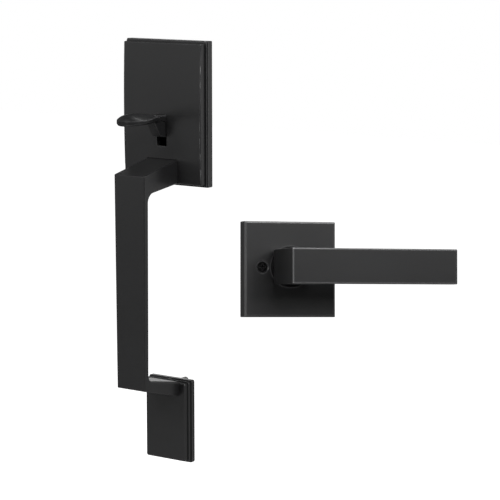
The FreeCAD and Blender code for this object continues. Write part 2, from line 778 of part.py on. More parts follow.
def build_thumb_piece():
    """Domed spoon on a neck, web through the slot, and a tail with a finger and a spring lug."""
    body = new_piece("thumb_piece")
    sections = []
    for share in SPOON_TIP:
        half = size.paddle_radius * math.sqrt(1 - share ** 2)
        crest = size.paddle_crest - size.paddle_tip_dome * share ** 6
        rim = size.paddle_crest - size.paddle_dome - (size.paddle_tip_dome - size.paddle_dome) * share ** 2
        sections.append(spoon_section(body, size.paddle_reach + size.paddle_radius * share, half, crest, rim))
    run = size.paddle_reach - size.neck_reach
    for share in SPOON_NECK:
        ease = share ** 2 * (3 - 2 * share)
        half = size.paddle_radius + (size.neck_half - size.paddle_radius) * ease
        crest = size.paddle_crest - (size.paddle_crest + size.neck_crest_drop) * share ** 2
        rim = crest - size.paddle_dome + (size.paddle_dome - size.neck_dome) * ease
        sections.append(spoon_section(body, size.paddle_reach - run * share, half, crest, rim))
    spoon = body.newObject("PartDesign::AdditiveLoft", "thumb_piece_spoon")
    spoon.Profile = sections[0]
    spoon.Sections = sections[1:]
    doc.recompute()
    web = sketch_on(body, SIDE)
    outline(web, [
        (-size.web_front_reach, -size.web_front_drop, size.web_radius),
        (-size.web_foot_reach, -size.web_foot_drop),
        (-size.web_low_reach, -size.web_low_drop),
        (-size.web_rear_reach, -size.web_heel_drop),
        (-size.web_rear_reach, -size.web_top_drop),
        (-size.web_top_reach, -web_top),
        (-size.neck_reach - size.web_rear_reach, -web_top),
    ])
    pad(body, web, web_thickness, both=True)
    bar_front = size.web_rear_reach + size.tail_bar
    bar = sketch_on(body, FRONT, size.web_rear_reach)
    lug_outer = size.lug_inner + size.lug_width
    finger_outer = size.finger_inner + size.finger_width
    rectangle(bar, -lug_outer, -size.web_heel_drop, finger_outer, -size.web_heel_drop + size.tail_bar_height)
    pad(body, bar, size.tail_bar)
    finger = sketch_on(body, FRONT, bar_front)
    rectangle(finger, size.finger_inner, -finger_top - size.finger_height, finger_outer, -finger_top)
    pad(body, finger, bar_front + size.finger_reach, backward=True)
    lug = sketch_on(body, FRONT, bar_front)
    rectangle(lug, -lug_outer, -size.lug_top - size.lug_thickness, -size.lug_inner, -size.lug_top)
    pad(body, lug, bar_front + size.lug_reach, backward=True)
    pivot = sketch_on(body, SIDE)
    circle(pivot, size.pin_radius + size.running, -size.pivot_depth, -size.pivot_drop)
    pocket(body, pivot, web_thickness * 2, both=True)


def build_thumb_pin():
    body = new_piece("thumb_pin")
    sketch = sketch_on(body, SIDE)
    circle(sketch, size.pin_radius, -size.pivot_depth, -size.pivot_drop)
    clips = size.pin_clip_gap + size.pin_clip_thickness + size.pin_end
    pad(body, sketch, (size.ear_inner + size.ear_steel + clips) * 2, both=True)


def build_pin_clips():
    """A spring clip on each end of the thumb pin."""
    body = new_piece("pin_clips", several=True)
    inner = size.ear_inner + size.ear_steel + size.pin_clip_gap
    ring = sketch_on(body, SIDE)
    circle(ring, size.pin_clip_radius, -size.pivot_depth, -size.pivot_drop)
    circle(ring, size.pin_radius + size.running, -size.pivot_depth, -size.pivot_drop)
    pad(body, ring, (inner + size.pin_clip_thickness) * 2, both=True)
    middle = sketch_on(body, SIDE)
    circle(middle, size.pin_clip_radius * 2, -size.pivot_depth, -size.pivot_drop)
    pocket(body, middle, inner * 2, both=True)


def build_chassis():
    """Folded bracket: a slotted plate on the recess floor, two pivot ears, the spring's tab, and a cover
    folded up behind the lower half of the slot."""
    body = new_piece("chassis")
    half = size.recess_width / 2 - size.chassis_gap
    low = -size.recess_bottom + size.chassis_gap
    high = size.recess_top - size.chassis_gap
    plate = sketch_on(body, FRONT, chassis_rear)
    rectangle(plate, -half, low, half, high)
    pad(body, plate, size.sheet_steel)
    ears = sketch_on(body, SIDE)
    outline(ears, [
        (-chassis_rear, -size.pivot_drop - size.ear_radius),
        (-size.pivot_depth, -size.pivot_drop - size.ear_radius, size.ear_radius),
        (-size.pivot_depth + size.ear_radius, -size.pivot_drop, size.ear_radius),
        (-size.pivot_depth, -size.pivot_drop + size.ear_radius),
        (-chassis_rear, -size.pivot_drop + size.ear_radius),
    ])
    pad(body, ears, (size.ear_inner + size.ear_steel) * 2, both=True)
    between = sketch_on(body, SIDE)
    rectangle(between, -chassis_rear, -size.pivot_drop - size.ear_radius * 2,
              0, -size.pivot_drop + size.ear_radius * 2)
    pocket(body, between, size.ear_inner * 2, both=True)
    slot = sketch_on(body, FRONT)
    rectangle(slot, -size.chassis_slot_half, -size.slot_bottom, size.chassis_slot_half, -size.slot_top)
    pocket(body, slot, recess_floor * 3, both=True)
    tab = sketch_on(body, FRONT, chassis_rear)
    tab_reach = size.thumb_spring_radius + size.thumb_wire + size.chassis_gap
    rectangle(tab, -size.thumb_spring_side - tab_reach, size.tab_height,
              -size.thumb_spring_side + tab_reach, size.tab_height + size.sheet_steel)
    pad(body, tab, chassis_rear + size.thumb_spring_depth + tab_reach, backward=True)
    pin = sketch_on(body, SIDE)
    circle(pin, size.pin_radius + size.running, -size.pivot_depth, -size.pivot_drop)
    pocket(body, pin, (size.ear_inner + size.ear_steel) * 3, both=True)
    holes = sketch_on(body, FRONT)
    for side in (-size.chassis_screw_side, size.chassis_screw_side):
        for height in (size.chassis_screw_top, -size.chassis_screw_bottom):
            circle(holes, size.chassis_screw_radius + size.screw_clearance, side, height)
    pocket(body, holes, recess_floor * 3, both=True)
    cover = sketch_on(body, SIDE)
    cover_front = -size.chassis_gap - size.sheet_steel
    outline(cover, [
        (-chassis_rear, low),
        (-size.chassis_gap, low),
        (-size.chassis_gap, -size.cover_top),
        (cover_front, -size.cover_top),
        (cover_front, low + size.sheet_steel),
        (-chassis_rear, low + size.sheet_steel),
    ])
    pad(body, cover, half * 2, both=True)


def build_chassis_screws():
    body = new_piece("chassis_screws", shifted(-size.chassis_screw_side, 0, -size.chassis_screw_bottom),
                     several=True)
    turned(body, screw_profile(recess_floor + size.chassis_screw_bite, chassis_rear, size.chassis_screw_radius,
                               size.chassis_screw_head, size.chassis_screw_head_radius))
    across = repeat(body, "X_Axis", size.chassis_screw_side * 2)
    up = body.newObject("PartDesign::LinearPattern", "chassis_screws_column")
    up.Originals = list(across.Originals)
    grid = body.newObject("PartDesign::MultiTransform", "chassis_screws_grid")
    grid.Originals = list(across.Originals)
    grid.Transformations = [across, up]
    axis = next(item for item in body.Origin.OriginFeatures if item.Role == "Z_Axis")
    up.Direction = (axis, [""])
    bind(up, "Length", size.chassis_screw_top + size.chassis_screw_bottom)
    up.Occurrences = 2
    across.Originals = []
    up.Originals = []
    body.Tip = grid
    doc.recompute()


def coil(body, sketch, pitch, height):
    """Wind the sketch's circle about the body's vertical axis."""
    feature = body.newObject("PartDesign::AdditiveHelix", body.Name + "_coil")
    feature.Profile = sketch
    feature.ReferenceAxis = (sketch, ["V_Axis"])
    feature.Mode = "pitch-height-angle"
    bind(feature, "Pitch", pitch)
    bind(feature, "Height", height)
    doc.recompute()
    return feature


def build_thumb_spring():
    """Compression spring that presses the tail down from the chassis's tab."""
    wire_corner = size.thumb_wire * 2 / math.sqrt(3)
    low = -size.lug_top + wire_corner
    body = new_piece("thumb_spring", shifted(-size.thumb_spring_side, size.thumb_spring_depth, low))
    wire = sketch_on(body, FRONT)
    hexagon(wire, size.thumb_wire * 2, size.thumb_spring_radius)
    height = size.tab_height + size.lug_top - wire_corner * 2
    coil(body, wire, height / size.thumb_spring_turns, height)


def build_spindle_hub():
    """Round hub with a square hole, and an arm that the thumb piece's finger lifts."""
    body = new_piece("spindle_hub")
    groove_rear = hub_groove_front + size.hub_clip_thickness + size.running * 2
    neck = size.hub_radius - size.hub_clip_bite
    turned(body, [
        (size.hub_front, 0),
        (size.hub_front, size.hub_radius),
        (hub_groove_front, size.hub_radius),
        (hub_groove_front, neck),
        (groove_rear, neck),
        (groove_rear, size.hub_radius),
        (size.hub_rear, size.hub_radius),
        (size.hub_rear, 0),
    ])
    arm = sketch_on(body, FRONT, -size.arm_front, -size.arm_droop)
    outline(arm, [
        (0, -size.arm_half),
        (size.arm_reach, -size.arm_half, size.arm_half),
        (size.arm_reach + size.arm_half, 0, size.arm_half),
        (size.arm_reach, size.arm_half),
        (0, size.arm_half),
    ])
    pad(body, arm, size.arm_rear - size.arm_front, backward=True)
    square = sketch_on(body, FRONT)
    half = size.spindle_side / 2 + size.running
    rectangle(square, -half, -half, half, half)
    pocket(body, square, size.hub_rear * 3, both=True)
    cross = sketch_on(body, TOP)
    circle(cross, size.roll_pin_radius + size.running, 0, size.roll_pin_depth)
    pocket(body, cross, size.hub_radius * 3, both=True)


def build_hub_bushing():
    body = new_piece("hub_bushing")
    bore = size.hub_radius + size.running
    outer = bore + size.bushing_wall
    turned(body, [
        (size.back_plate_front - size.bushing_flange, bore),
        (size.back_plate_front - size.bushing_flange, size.bushing_flange_radius),
        (size.back_plate_front, size.bushing_flange_radius),
        (size.back_plate_front, outer),
        (back_plate_rear, outer),
        (back_plate_rear, bore),
    ])


def build_back_plate():
    """Plate across the cross bore that carries the hub's bushing on the two posts."""
    body = new_piece("back_plate")
    disc = sketch_on(body, FRONT, -size.back_plate_front)
    circle(disc, size.back_plate_radius)
    pad(body, disc, size.back_plate_steel, backward=True)
    sides = sketch_on(body, FRONT)
    half = size.back_plate_height / 2
    reach = size.back_plate_radius + size.back_plate_steel
    rectangle(sides, -reach, half, reach, reach)
    rectangle(sides, -reach, -reach, reach, -half)
    pocket(body, sides, back_plate_rear * 3, both=True)
    holes = sketch_on(body, FRONT)
    circle(holes, size.hub_radius + size.running + size.bushing_wall + size.running / 2)
    for side in (-size.post_side, size.post_side):
        circle(holes, size.post_radius + size.screw_clearance, side, 0)
    pocket(body, holes, back_plate_rear * 3, both=True)


def build_mounting_posts():
    """Two flanged studs in the escutcheon's back, tapped for the inside unit's screws."""
    body = new_piece("mounting_posts", shifted(-size.post_side), several=True)
    turned(body, [
        (-size.post_stud, 0),
        (-size.post_stud, size.post_stud_radius),
        (-size.post_sink, size.post_stud_radius),
        (-size.post_sink, size.post_flange_radius),
        (size.back_plate_front, size.post_flange_radius),
        (size.back_plate_front, size.post_radius),
        (size.post_rear, size.post_radius),
        (size.post_rear, size.post_bore_radius),
        (size.post_rear - size.post_bore_depth, size.post_bore_radius),
        (size.post_rear - size.post_bore_depth, 0),
    ])
    repeat(body, "X_Axis", size.post_side * 2)


def build_post_nuts():
    """Hexagon nuts that hold the back plate against the posts' flanges."""
    body = new_piece("post_nuts", shifted(-size.post_side), several=True)
    nut = sketch_on(body, FRONT, -back_plate_rear)
    hexagon(nut, size.post_nut_flats)
    circle(nut, size.post_radius + size.running)
    pad(body, nut, size.post_nut_thickness, backward=True)
    repeat(body, "X_Axis", size.post_side * 2)


def build_hub_clip():
    body = new_piece("hub_clip")
    front = hub_groove_front + size.running
    inner = size.hub_radius - size.hub_clip_bite + size.running
    ring_on(body, front, size.hub_clip_thickness, inner, size.hub_clip_radius)


def ring_on(body, front, thickness, inner, outer):
    """A flat ring about the body's Y axis, from a place along Y rearward."""
    turned(body, [
        (front, inner),
        (front, outer),
        (front + thickness, outer),
        (front + thickness, inner),
    ])


def build_spindle():
    """Square bar through the door, pinned in the hub."""
    body = new_piece("spindle")
    square = sketch_on(body, FRONT, -size.spindle_front)
    half = size.spindle_side / 2
    rectangle(square, -half, -half, half, half)
    pad(body, square, size.spindle_rear - size.spindle_front, backward=True)
    cross = sketch_on(body, TOP)
    circle(cross, size.roll_pin_radius + size.running, 0, size.roll_pin_depth)
    pocket(body, cross, size.spindle_side * 3, both=True)


def build_spindle_pin():
    body = new_piece("spindle_pin")
    cross = sketch_on(body, TOP)
    circle(cross, size.roll_pin_radius, 0, size.roll_pin_depth)
    pad(body, cross, (size.hub_radius - size.chassis_gap) * 2, both=True)


def build_rosette():
    """Square rose with bevelled front edges, hollow behind, bored for the collar and two screws."""
    body = new_piece("rosette", INSIDE_UNIT)
    half = size.rose_side / 2
    face = sketch_on(body, FRONT)
    rectangle(face, -half, -half - size.rose_drop, half, half - size.rose_drop)
    pad(body, face, size.rose_thickness)
    bore = sketch_on(body, FRONT)
    circle(bore, size.collar_radius + size.running)
    pocket(body, bore, size.rose_thickness * 2, forward=True)
    for side in (-size.post_side, size.post_side):
        hole = sketch_on(body, FRONT)
        circle(hole, size.rose_screw_radius + size.screw_clearance, side, 0)
        pocket(body, hole, size.rose_thickness * 2, forward=True)
    hollow = sketch_on(body, FRONT)
    inner = half - size.rose_wall
    rectangle(hollow, -inner, -inner - size.rose_drop, inner, inner - size.rose_drop)
    pocket(body, hollow, collar_rear, forward=True)
    sink = size.rose_screw_head_radius - size.rose_screw_radius + size.rose_screw_sink
    round_rim = 2 * math.pi * amount(size.rose_screw_radius + size.screw_clearance)
    dress(body, "Chamfer", sink,
          lambda edge: lies_at(edge, "y", -size.rose_thickness) and abs(edge.Length - round_rim) < 1e-2)
    dress(body, "Chamfer", size.rose_bevel,
          lambda edge: lies_at(edge, "y", -size.rose_thickness) and (along(edge, X) or along(edge, Z)))
    dress(body, "Fillet", size.rose_corner,
          lambda edge: along(edge, Y) and (lies_at(edge, "x", half) or lies_at(edge, "x", -half)))


def build_rosette_collar():
    """Round neck through the rose, with a flange behind the rose's wall."""
    body = new_piece("rosette_collar", INSIDE_UNIT)
    bore = size.tube_radius + size.running
    front = -(size.rose_thickness + size.collar_proud)
    turned(body, [
        (front, bore),
        (front, size.collar_radius - size.collar_chamfer),
        (front + size.collar_chamfer, size.collar_radius),
        (-collar_rear, size.collar_radius),
        (-collar_rear, size.collar_flange_radius),
        (-flange_rear, size.collar_flange_radius),
        (-flange_rear, bore),
    ])


def build_mounting_plate():
    """Steel plate against the door inside the rose, with the spring's stop post."""
    body = new_piece("mounting_plate", INSIDE_UNIT)
    half = size.mount_plate_side / 2
    plate = sketch_on(body, FRONT)
    rectangle(plate, -half, -half - size.rose_drop, half, half - size.rose_drop)
    pad(body, plate, size.sheet_steel)
    post = sketch_on(body, FRONT)
    circle(post, size.stop_post_radius, 0, size.stop_post_height)
    pad(body, post, flange_rear - size.cam_gap)
    holes = sketch_on(body, FRONT)
    circle(holes, size.mount_hole_radius)
    for side in (-size.post_side, size.post_side):
        circle(holes, size.rose_screw_radius + size.screw_clearance, side, 0)
    pocket(body, holes, size.rose_thickness * 3, both=True)


def build_rosette_screws():
    """Two long countersunk screws with a cross recess."""
    place = INSIDE_UNIT + " * " + shifted(-size.post_side)
    body = new_piece("rosette_screws", place, several=True)
    sink = size.rose_screw_head_radius - size.rose_screw_radius
    head_front = size.rose_thickness - size.rose_screw_sink
    turned(body, [
        (-head_front, 0),
        (-head_front, size.rose_screw_head_radius),
        (-head_front + sink, size.rose_screw_radius),
        (size.rose_screw_rear, size.rose_screw_radius),
        (size.rose_screw_rear, 0),
    ])
    cross = sketch_on(body, FRONT, head_front)
    long_half = size.cross_recess_length / 2
    slim_half = size.cross_recess_width / 2
    outline(cross, [
        (-slim_half, -long_half),
        (slim_half, -long_half),
        (slim_half, -slim_half),
        (long_half, -slim_half),
        (long_half, slim_half),
        (slim_half, slim_half),
        (slim_half, long_half),
        (-slim_half, long_half),
        (-slim_half, slim_half),
        (-long_half, slim_half),
        (-long_half, -slim_half),
        (-slim_half, -slim_half),
    ])
    pocket(body, cross, size.cross_recess_depth)
    repeat(body, "X_Axis", size.post_side * 2)


def build_lever():
    """Square hub and flat blade in one casting, bored behind for the drive tube."""
    body = new_piece("lever", INSIDE_UNIT)
    hub_half = size.lever_hub_width / 2
    blade_back = size.lever_reach - size.blade_thickness
    plan = sketch_on(body, TOP)
    outline(plan, [
        (-hub_half, -size.lever_reach),
        (size.lever_length, -size.lever_reach),
        (size.lever_length, -blade_back),
        (hub_half, -blade_back),
        (hub_half, -lever_back),
        (-hub_half, -lever_back),
    ])
    pad(body, plan, size.lever_height, both=True)
    dress(body, "Fillet", size.lever_inner_fillet,
          lambda edge: along(edge, Z) and lies_at(edge, "x", hub_half) and lies_at(edge, "y", -blade_back))
    dress(body, "Fillet", size.lever_end_corner,
          lambda edge: along(edge, Z) and lies_at(edge, "x", size.lever_length))
    dress(body, "Fillet", size.lever_rear_edge, lambda edge: along(edge, X) and lies_at(edge, "y", -lever_back))
    rear = amount(lever_back)
    dress(body, "Fillet", size.lever_edge, lambda edge: edge.BoundBox.YMin < -rear - 1 and not along(edge, Y)
          and (lies_at(edge, "z", size.lever_height / 2) or lies_at(edge, "z", -size.lever_height / 2)
               or (along(edge, Z) and lies_at(edge, "x", -hub_half))))
    bore = sketch_on(body, FRONT, lever_back)
    circle(bore, size.tube_radius + size.running)
    pocket(body, bore, size.tube_seat + size.chassis_gap, forward=True)
    grub = sketch_on(body, TOP)
    circle(grub, size.set_screw_radius + size.running, 0, -lever_back - size.set_screw_depth)
    pocket(body, grub, size.lever_height)


def build_lever_set_screw():
    """Grub screw with a hexagon socket, up through the lever's hub to the tube."""
    body = new_piece("lever_set_screw", INSIDE_UNIT)
    bottom = size.lever_height / 2 - size.chassis_gap
    end = sketch_on(body, TOP, -bottom)
    circle(end, size.set_screw_radius, 0, -lever_back - size.set_screw_depth)
    pad(body, end, bottom - size.tube_radius - size.running)
    socket = sketch_on(body, TOP, -bottom)
    hexagon(socket, size.set_screw_hex, 0, -lever_back - size.set_screw_depth)
    pocket(body, socket, size.set_screw_hex_depth, forward=True)


def build_drive_tube():
    """Round tube in the collar, with a square socket for the spindle and a ring groove."""
    body = new_piece("drive_tube", INSIDE_UNIT)
    neck = size.tube_radius - size.ring_bite
    groove_rear = -ring_front + size.ring_thickness + size.running
    turned(body, [
        (-tube_front, 0),
        (-tube_front, size.tube_radius),
        (-ring_front, size.tube_radius),
        (-ring_front, neck),
        (groove_rear, neck),
        (groove_rear, size.tube_radius),
        (-size.tube_rear, size.tube_radius),
        (-size.tube_rear, 0),
    ])
    socket = sketch_on(body, FRONT, size.tube_rear)
    half = size.socket_side / 2
    rectangle(socket, -half, -half, half, half)
    pocket(body, socket, size.socket_depth, forward=True)


def build_small_rings():
    """Thrust washer behind the collar's flange, and the ring that keeps the tube in."""
    washer = new_piece("thrust_washer", INSIDE_UNIT)
    front = -flange_rear + size.running
    ring_on(washer, front, size.washer_thickness, size.tube_radius + size.running, size.washer_radius)
    ring = new_piece("snap_ring", INSIDE_UNIT)
    inner = size.tube_radius - size.ring_bite + size.running
    ring_on(ring, -ring_front + size.running / 2, size.ring_thickness, inner, size.ring_radius)


def build_drive_cam():
    """Stamped plate staked to the tube, with the tab that loads the spring."""
    body = new_piece("drive_cam", INSIDE_UNIT)
    cam_rear = cam_front - size.cam_steel
    disc = sketch_on(body, FRONT, cam_rear)
    circle(disc, size.cam_radius)
    pad(body, disc, size.cam_steel)
    tab = sketch_on(body, FRONT, cam_rear)
    half = size.cam_tab_width / 2
    rectangle(tab, -half, size.cam_radius - size.cam_tab_width, half, size.cam_tab_reach)
    pad(body, tab, size.cam_steel)
    upturn = sketch_on(body, FRONT, cam_rear)
    rectangle(upturn, -half, size.cam_tab_reach - size.cam_steel, half, size.cam_tab_reach)
    pad(body, upturn, size.cam_steel + size.cam_tab_depth)
    hole = sketch_on(body, FRONT)
    circle(hole, size.tube_radius + size.running / 2)
    pocket(body, hole, cam_front * 3, both=True)


def build_lever_spring():
    """Centring spring: an open ring of wire round the tube, with two upright legs that hold the cam's tab."""
    body = new_piece("lever_spring", INSIDE_UNIT)
    ring = size.centring_radius
    bend = size.centring_bend
    side = size.cam_tab_width / 2 + size.centring_wire + size.running
    bend_x = side + bend
    bend_z = square_root((ring + bend) * (ring + bend) - bend_x * bend_x)
    share = ring / (ring + bend)
    spine = sketch_on(body, FRONT, cam_front + size.cam_gap + size.centring_wire)
    outline(spine, [
        (side, size.centring_leg),
        (side, bend_z, bend),
        (bend_x * share, bend_z * share, -ring),
        (0, -ring, -ring),
        (-bend_x * share, bend_z * share, bend),
        (-side, bend_z),
        (-side, size.centring_leg),
    ], closed=False)
    section = sketch_on(body, TOP, size.centring_leg)
    hexagon(section, size.centring_wire * 2, side, -(cam_front + size.cam_gap + size.centring_wire))
    feature = body.newObject("PartDesign::AdditivePipe", "lever_spring_wire")
    feature.Profile = section
    feature.Spine = spine
    doc.recompute()


build_upper_escutcheon()
build_grip()
build_grip_screws()
build_lower_escutcheon()
build_foot_post()
build_thumb_piece()
build_thumb_pin()
build_pin_clips()
build_chassis()
build_chassis_screws()
build_thumb_spring()
build_spindle_hub()
build_hub_bushing()
build_back_plate()
build_mounting_posts()
build_post_nuts()
build_hub_clip()
build_spindle()
build_spindle_pin()
build_rosette()
build_rosette_collar()
build_mounting_plate()
build_rosette_screws()
build_lever()
build_lever_set_screw()
build_drive_tube()
build_small_rings()
build_drive_cam()
build_lever_spring()

doc.recompute()
for item in doc.Objects:
    if {"Invalid", "Error"} & set(item.State):
        raise ValueError("%s failed: %s" % (item.Label, item.State))
for body in pieces:
    shape = body.Shape
    if shape.isNull() or not shape.isValid():
        raise ValueError("%s has no valid shape" % body.Label)
    print("%-18s %d solid %10.1f mm3" % (body.Label, len(shape.Solids), shape.Volume))
for body in pieces:
    body.Shape.exportStep("parts/%s.step" % body.Label)
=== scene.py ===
"""The entry door handleset as photographed: satin black, over a wide white floor, in soft light.

Lengths are in metres, angles in degrees and the power of lamps in watts.
"""
import math

import bpy
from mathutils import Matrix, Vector


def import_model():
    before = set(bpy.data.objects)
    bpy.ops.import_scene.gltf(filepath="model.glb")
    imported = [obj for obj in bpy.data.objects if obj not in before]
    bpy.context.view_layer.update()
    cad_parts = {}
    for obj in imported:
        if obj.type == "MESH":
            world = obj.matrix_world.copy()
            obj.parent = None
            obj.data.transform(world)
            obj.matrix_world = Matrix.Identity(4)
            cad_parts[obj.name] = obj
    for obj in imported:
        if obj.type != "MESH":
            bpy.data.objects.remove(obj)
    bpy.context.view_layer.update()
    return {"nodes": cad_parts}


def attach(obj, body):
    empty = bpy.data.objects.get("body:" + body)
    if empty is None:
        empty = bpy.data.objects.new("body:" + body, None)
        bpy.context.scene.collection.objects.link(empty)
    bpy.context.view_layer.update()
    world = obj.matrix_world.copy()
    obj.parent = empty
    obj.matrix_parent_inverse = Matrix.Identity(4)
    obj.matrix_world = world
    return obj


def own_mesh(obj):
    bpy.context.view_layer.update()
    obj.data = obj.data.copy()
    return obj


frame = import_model()
nodes = frame["nodes"]

# The camera stands where the photograph was taken from
CAMERA_PLACE = (1.052255, -1.388679, 0.162186)
CAMERA_AZIMUTH = 35.0
CAMERA_ELEVATION = 9.10
CAMERA_LENS = 150.7
CAMERA_SENSOR = 36.0
CAMERA_NEAREST = 0.05
CAMERA_FARTHEST = 60.0

# Main colours of the finishes
BLACK_POWDER = (0.0125, 0.0125, 0.013, 1)
# The collar's black is darker than the coating: painted shade of the gap behind the lever hub
COLLAR_BLACK_AND_SHADE = (0.004, 0.004, 0.0042, 1)
BLACK_SCREW = (0.02, 0.02, 0.0205, 1)
# Nearly black steel for the inner hub, back plate and set screw, so that where they show through
# gaps they look dark: painted shade
DARK_STEEL_SHADE = (0.03, 0.03, 0.032, 1)
ZINC = (0.58, 0.58, 0.56, 1)
SPRING_STEEL = (0.42, 0.42, 0.43, 1)
BRONZE = (0.52, 0.33, 0.15, 1)
NYLON = (0.74, 0.73, 0.68, 1)
WHITE = (1, 1, 1, 1)

BLACK_ROUGHNESS = 0.33
SKIN_DEPTH = 0.00002

# A painted highlight: a black coating is painted lighter along outward edges that face up and to
# the front, within reach of such edges, in place of the glint of the lamps on them. Flat and
# sharp are the occlusion at none of the highlight colour and at all of it. Away and turned are
# how far a face points that way at none of it and at all of it.
PALE_EDGE_HIGHLIGHT = (0.11, 0.11, 0.113, 1)
BRIGHT_EDGE_HIGHLIGHT = (0.3, 0.3, 0.306, 1)
EDGE_REACH = 0.0014
PLATE_EDGE_REACH = 0.0008
SCREW_EDGE_REACH = 0.0005
EDGE_FACING = (0.45, -0.45, 0.77)
EDGE_FLAT, EDGE_SHARP = 0.95, 0.5
EDGE_AWAY, EDGE_TURNED = 0.35, 0.65
EDGE_SAMPLES = 8

# The finishes: the name, the colour, the pieces that have it, and its gloss, its skin and any
# painted edge highlight
FINISHES = (
    ("satin_black", BLACK_POWDER, ("grip", "chassis"), {"roughness": BLACK_ROUGHNESS}),
    # The plate, rosette, lever, thumb and screw finishes carry painted highlights on their edges,
    # of different strength
    ("plate_black", BLACK_POWDER, ("upper_escutcheon", "lower_escutcheon"),
     {"roughness": BLACK_ROUGHNESS, "edge_highlight": 0.8, "reach": PLATE_EDGE_REACH}),
    ("rosette_black", BLACK_POWDER, ("rosette",), {"roughness": BLACK_ROUGHNESS, "edge_highlight": 0.8}),
    ("lever_black", BLACK_POWDER, ("lever",),
     {"roughness": BLACK_ROUGHNESS, "edge_highlight": 1.0, "highlight_colour": BRIGHT_EDGE_HIGHLIGHT}),
    # The collar is coloured darker than the coating, as painted shade in the gap behind the lever
    # hub
    ("collar_black_and_shade", COLLAR_BLACK_AND_SHADE, ("rosette_collar",), {"roughness": 0.6, "specular": 0.08}),
    ("zinc_steel", ZINC,
     ("grip_screws", "foot_post", "thumb_pin", "pin_clips", "chassis_screws", "mounting_posts",
      "post_nuts", "hub_clip", "spindle", "spindle_pin", "mounting_plate", "drive_tube",
      "snap_ring", "drive_cam"),
     {"roughness": 0.38, "metallic": 1.0, "grain": 500.0, "cloud": 90.0, "spread": 0.12,
      "tone": 0.3, "bump": 0.12}),
    ("spring_steel", SPRING_STEEL, ("thumb_spring", "lever_spring"),
     {"roughness": 0.3, "metallic": 1.0, "grain": 700.0}),
    # Inner steel parts coloured nearly black so that they look dark where they show through gaps:
    # painted shade
    ("dark_steel_shade", DARK_STEEL_SHADE, ("spindle_hub", "back_plate", "lever_set_screw"),
     {"roughness": 0.5, "metallic": 0.4}),
    ("thumb_black", BLACK_POWDER, ("thumb_piece",),
     {"roughness": 0.42, "specular": 0.2, "edge_highlight": 0.7, "highlight_colour": BRIGHT_EDGE_HIGHLIGHT}),
    ("black_screw", BLACK_SCREW, ("rosette_screws",),
     {"roughness": 0.2, "metallic": 0.9, "grain": 1500.0, "bump": 0.15, "edge_highlight": 1.0,
      "highlight_colour": BRIGHT_EDGE_HIGHLIGHT, "reach": SCREW_EDGE_REACH}),
    ("bronze", BRONZE, ("hub_bushing",),
     {"roughness": 0.5, "metallic": 1.0, "grain": 1400.0, "bump": 0.25}),
    ("nylon", NYLON, ("thrust_washer",), {"roughness": 0.5, "tone": 0.06}),
)

# The block on the thumb piece's neck: reach from the door at its front and its back, half
# width, heights in front and behind, and the rounding of its edges
NECK_REACH = (0.0285, 0.0112)
NECK_HALF = 0.0047
NECK_FRONT = (-0.0042, -0.0006)
NECK_REAR = (-0.0075, -0.0017)
NECK_ROUND = 0.0009
NECK_STEPS = 4

# The floor. Its lift is how white the camera sees it near the middle, and that grows to plain
# white between the near and the far distance.
FLOOR_SIZE = 12.0
FLOOR_HEIGHT = -0.75
FLOOR_COLOUR = (0.8, 0.8, 0.8, 1)
FLOOR_ROUGHNESS = 0.9
FLOOR_LIFT = 0.75
FLOOR_NEAR = 0.5
FLOOR_FAR = 1.4

# The studio: soft panels round the set, each with its place, its width, its height and its power
WORLD_LIGHT = 0.08
PANEL_TARGET = (0.1, -0.1, -0.1)
PANELS = (
    ("upper_right", (1.3, -0.7, 1.0), 0.8, 0.8, 19.0),
    ("far_right", (2.2, -0.4, 0.9), 0.9, 0.7, 7.9),
    ("upper_left", (-1.0, -1.3, 0.9), 1.0, 1.0, 1.7),
    ("upper_front", (-0.35, -1.55, 0.9), 0.5, 0.5, 9.0),
    ("front_left", (-0.35, -1.7, 0.15), 0.35, 0.5, 2.0),
    ("broad_left", (-1.2, -1.3, 0.3), 1.0, 1.4, 2.2),
    ("far_left", (-1.7, -0.1, 0.4), 1.0, 1.2, 2.0),
    ("top_back", (0.2, 0.35, 1.2), 0.5, 0.5, 6.5),
    ("back_right", (1.1, 1.5, 0.2), 1.2, 1.2, 3.3),
    ("back_left", (-1.6, 1.9, 0.15), 0.9, 0.9, 3.4),
)


def fill(node, values):
    """Sets these values on a node's inputs."""
    for name, value in values.items():
        node.inputs[name].default_value = value


def add(tree, kind, values=None, **settings):
    """A new node with these settings, and with these values on its inputs."""
    node = tree.nodes.new(kind)
    for name, value in settings.items():
        setattr(node, name, value)
    fill(node, values or {})
    return node


def join(tree, *links):
    """New links, each from a node's output to a node's input."""
    for source, output, target, entry in links:
        tree.links.new(source.outputs[output], target.inputs[entry])


def new_group(name, inputs, outputs):
    """A node group with these inputs at these values, these outputs, and its two end nodes."""
    group = bpy.data.node_groups.new(name, "ShaderNodeTree")
    for label, value in inputs.items():
        kind = "NodeSocketVector" if isinstance(value, tuple) else "NodeSocketFloat"
        socket = group.interface.new_socket(label, in_out="INPUT", socket_type=kind)
        socket.default_value = value
    for label in outputs:
        group.interface.new_socket(label, in_out="OUTPUT", socket_type="NodeSocketFloat")
    return group, add(group, "NodeGroupInput"), add(group, "NodeGroupOutput")


